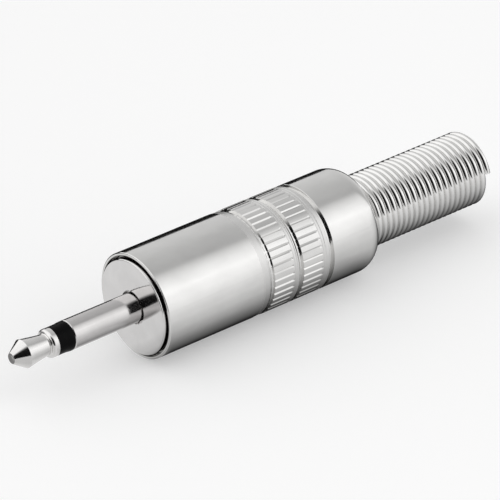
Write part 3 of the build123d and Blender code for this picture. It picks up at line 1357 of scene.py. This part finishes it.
@dataclass
class Studio:
    """Pale floor, soft light and the camera at the photograph's angle.

    The floor that metal mirrors carries a painted shadow: it is dark up to an edge line beside the
    plug, which has one place under each part. The shadow's profile is its brightness by the distance
    from that line in millimetres, and the fades ahead of the tip paint more shade there, by the spans
    along and across and the levels over the second. over_barrel and over_tip are the room's brightness by
    the angle round the plug.
    """

    azimuth: float = -38.96
    elevation: float = 31.41
    lens: float = 324.0
    sensor: float = 36.0
    clip_start: float = 0.01
    centre: Triple = (0.30, 0.0, 0.0)
    stand: Triple = (9.0415, 4.4440, 355.8165)
    floor_level: float = -4.5
    floor_size: float = 6.0
    floor_paint: tuple[float, ...] = (0.7, 0.7, 0.7, 1)
    floor_roughness: float = 0.9
    fill: float = 0.34
    lamp_level: float = 0.47
    lamp_angle: float = 138.0
    lamp_ahead: float = 0.25
    lamp_distance: float = 0.32
    lamp_size: Pair = (0.5, 0.4)
    strip_corners: tuple[Triple, ...] = (
        (-12.0, 15.0, -4.35),
        (72.0, 15.0, -4.35),
        (62.0, 45.0, -2.4),
        (28.0, 45.0, 9.2),
        (-12.0, 45.0, 9.0),
    )
    pin_span: Pair = (-9.0, -4.0)
    pin_sides: Pair = (-1.6, 1.4)
    pin_edges: Pair = (-1.0, -14.0)
    tip_edge: float = -20.0
    barrel_span: Pair = (0.2, 2.2)
    barrel_edge: float = 2.7
    spring_span: Pair = (21.0, 25.0)
    spring_edge: float = -1.2
    # Painted shade on the floor in reflections, ahead of the tip.
    tip_painted_shade_fades: tuple[tuple[Pair, Pair, Pair], ...] = (
        ((-13.0, -7.0), (-3.0, 0.0), (0.82, 1.0)),
        ((-15.5, -13.0), (1.0, 4.0), (1.0, 0.3)),
    )
    # Painted shadow on the floor in reflections, as brightness by the distance from the edge line.
    painted_shadow_profile: Steps = (
        (0, 0.02), (0.7, 0.09), (1.9, 0.2), (3.6, 0.39), (6.7, 0.6), (14.3, 0.75), (30, 0.81), (60, 0.88),
    )
    over_barrel: Steps = (
        (0, 0.91), (22, 0.89), (42, 0.83), (62, 0.74), (82, 0.68), (93, 0.63), (99, 0.66), (105, 0.87),
        (113, 1.09), (122, 1.28), (132, 1.41), (142, 1.555), (152, 1.44), (162, 1.39), (172, 1.26),
        (180, 1.18),
    )
    over_tip: Steps = ((0, 1.5), (60, 1.4), (85, 1.4), (100, 1.2), (140, 1.0), (180, 0.5))
    dark_centre: Triple = (-0.5367, -0.6996, 0.4719)
    dark_edges: Pair = (47.0, 25.0)
    dark_level: float = 0.01

    def camera(self) -> None:
        """Places the camera."""
        a, e = radians(self.azimuth), radians(self.elevation)
        right = Vector((cos(a), sin(a), 0))
        back = Vector((sin(a) * cos(e), -cos(a) * cos(e), sin(e)))
        up = Vector((-sin(a) * sin(e), cos(a) * sin(e), cos(e)))
        place = Vector(self.centre)
        for way, distance in zip((right, up, back), self.stand):
            place += way * distance
        data = bpy.data.cameras.new("camera")
        data.lens = self.lens
        data.sensor_width = self.sensor
        data.clip_start = self.clip_start
        camera = bpy.data.objects.new("camera", data)
        bpy.context.collection.objects.link(camera)
        turn = Matrix((right, up, back)).transposed().to_4x4()
        camera.matrix_world = Matrix.Translation(place * MM) @ turn
        bpy.context.scene.camera = camera

    def floor(self) -> None:
        """Lays the pale floor, filled up to white, with the painted contact shadow that metal shows of it.
        """
        clear_bench()
        place = (0, 0, self.floor_level * MM)
        bpy.ops.mesh.primitive_plane_add(size=self.floor_size, location=place)
        floor = bpy.context.object
        floor.name = "floor"
        tree = Tree("floor")
        rays = tree.node("LightPath", {}).outputs
        seen = tree.sum("MAXIMUM", rays["Is Camera Ray"], rays["Is Transmission Ray"])
        tree.set(Base_Color=self.floor_paint, Roughness=self.floor_roughness, Specular_IOR_Level=0.0)
        tree.set(Emission_Color=(1, 1, 1, 1), Emission_Strength=tree.sum("MULTIPLY", seen, self.fill))
        # What metal mirrors of the floor is an emission with a painted shadow close under the plug, not its
        # cast shadow.
        painted_shadow_emission = tree.node("Emission", {"Strength": self.floor_with_painted_shadow(tree)})
        inputs = {
            "Fac": rays["Is Glossy Ray"],
            1: tree.shader.outputs["BSDF"],
            2: painted_shadow_emission.outputs["Emission"],
        }
        tree.feed(tree.output.inputs["Surface"], tree.node("MixShader", inputs).outputs["Shader"])
        floor.data.materials.append(tree.material)

    def floor_with_painted_shadow(self, tree: Tree) -> Socket:
        """Gives the floor's brightness in reflections: white, with a painted shadow close under the plug.

        Args:
            tree: The floor's material.

        Returns:
            The brightness socket.
        """
        x, y, _ = tree.millimetres()
        pin_edge = tree.spread(y, self.pin_sides, *self.pin_edges)
        under_pin = tree.spread(x, self.pin_span, self.tip_edge, pin_edge, True)
        under_barrel = tree.spread(x, self.barrel_span, under_pin, self.barrel_edge, True)
        under_spring = tree.spread(x, self.spring_span, 0.0, self.spring_edge, True)
        edge = tree.sum("ADD", under_barrel, under_spring)
        away = tree.sum("SUBTRACT", tree.sum("ABSOLUTE", y), edge)
        fades = [
            tree.spread(x, along, tree.spread(y, across, *levels), 1.0, True)
            for along, across, levels in self.tip_painted_shade_fades
        ]
        return tree.sum("MULTIPLY", tree.profile(away, self.painted_shadow_profile), tree.sum("MULTIPLY", *fades))

    def lamp(self) -> None:
        """Adds the large soft lamp above and in front."""
        angle = radians(self.lamp_angle)
        towards = Vector((self.lamp_ahead, cos(angle), sin(angle))).normalized()
        data = bpy.data.lights.new("softbox", "AREA")
        data.shape = "RECTANGLE"
        data.size, data.size_y = self.lamp_size
        data.energy = self.lamp_level * pi * data.size * data.size_y
        lamp = bpy.data.objects.new("softbox", data)
        bpy.context.collection.objects.link(lamp)
        lamp.location = towards * self.lamp_distance
        lamp.rotation_euler = towards.to_track_quat("Z", "X").to_euler()
        lamp.visible_glossy = False
        lamp.visible_camera = False

    def flag(self) -> None:
        """Adds the dark strip behind the plug that draws its upper edge in the metal."""
        strip = start_loop("dark_strip", [Vector(corner) for corner in self.strip_corners])
        bpy.ops.object.mode_set(mode="OBJECT")
        tree = Tree("dark_strip")
        tree.set(Base_Color=(0.01, 0.01, 0.01, 1), Roughness=1.0, Specular_IOR_Level=0.0)
        strip.data.materials.append(tree.material)
        for ray in ("camera", "diffuse", "shadow", "transmission"):
            setattr(strip, "visible_" + ray, False)

    def room(self) -> None:
        """Sets the soft room: a bright band above and in front, white overhead, dark behind the camera."""
        world = bpy.data.worlds.new("room")
        bpy.context.scene.world = world
        world.use_nodes = True
        graph = Graph(world.node_tree)
        place = graph.node("TexCoord", {}).outputs["Generated"]
        x, y, z = graph.split(place)
        turn = graph.sum("MULTIPLY", graph.sum("ARCTAN2", z, y), 180 / pi)
        side = graph.spread(x, (-0.1, 0.4), 0.0, 1.0, True)
        other_side = graph.sum("SUBTRACT", 1.0, side)
        back = graph.sum("MULTIPLY", graph.profile(turn, self.over_barrel), side)
        front = graph.sum("MULTIPLY", graph.profile(turn, self.over_tip), other_side)
        towards = graph.node("VectorMath", {0: place, 1: self.dark_centre}, operation="DOT_PRODUCT")
        edges = tuple(cos(radians(edge)) for edge in self.dark_edges)
        dark = graph.spread(towards.outputs["Value"], edges, 1.0, self.dark_level, True)
        lit = graph.sum("MULTIPLY", graph.sum("ADD", back, front), dark)
        seen = graph.node("LightPath", {}).outputs["Is Camera Ray"]
        shown = graph.spread(seen, WHOLE, lit, 1.0)
        background = graph.node("Background", {"Strength": shown})
        graph.node("OutputWorld", {"Surface": background.outputs["Background"]})

    def build(self) -> None:
        """Sets up the whole studio."""
        self.camera()
        self.floor()
        self.lamp()
        self.flag()
        self.room()
        bpy.context.scene.view_settings.view_transform = "Standard"
        log.info("studio ready")


def main() -> None:
    """Builds the plug piece by piece and the studio round it."""
    logging.basicConfig(level=logging.INFO, format="%(message)s")
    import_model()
    for part in (Pin(), PlugBody(), SolderTags(), Liner(), Barrel(), SpringGuard()):
        part.build()
    Studio().build()


if __name__ == "__main__":
    main()
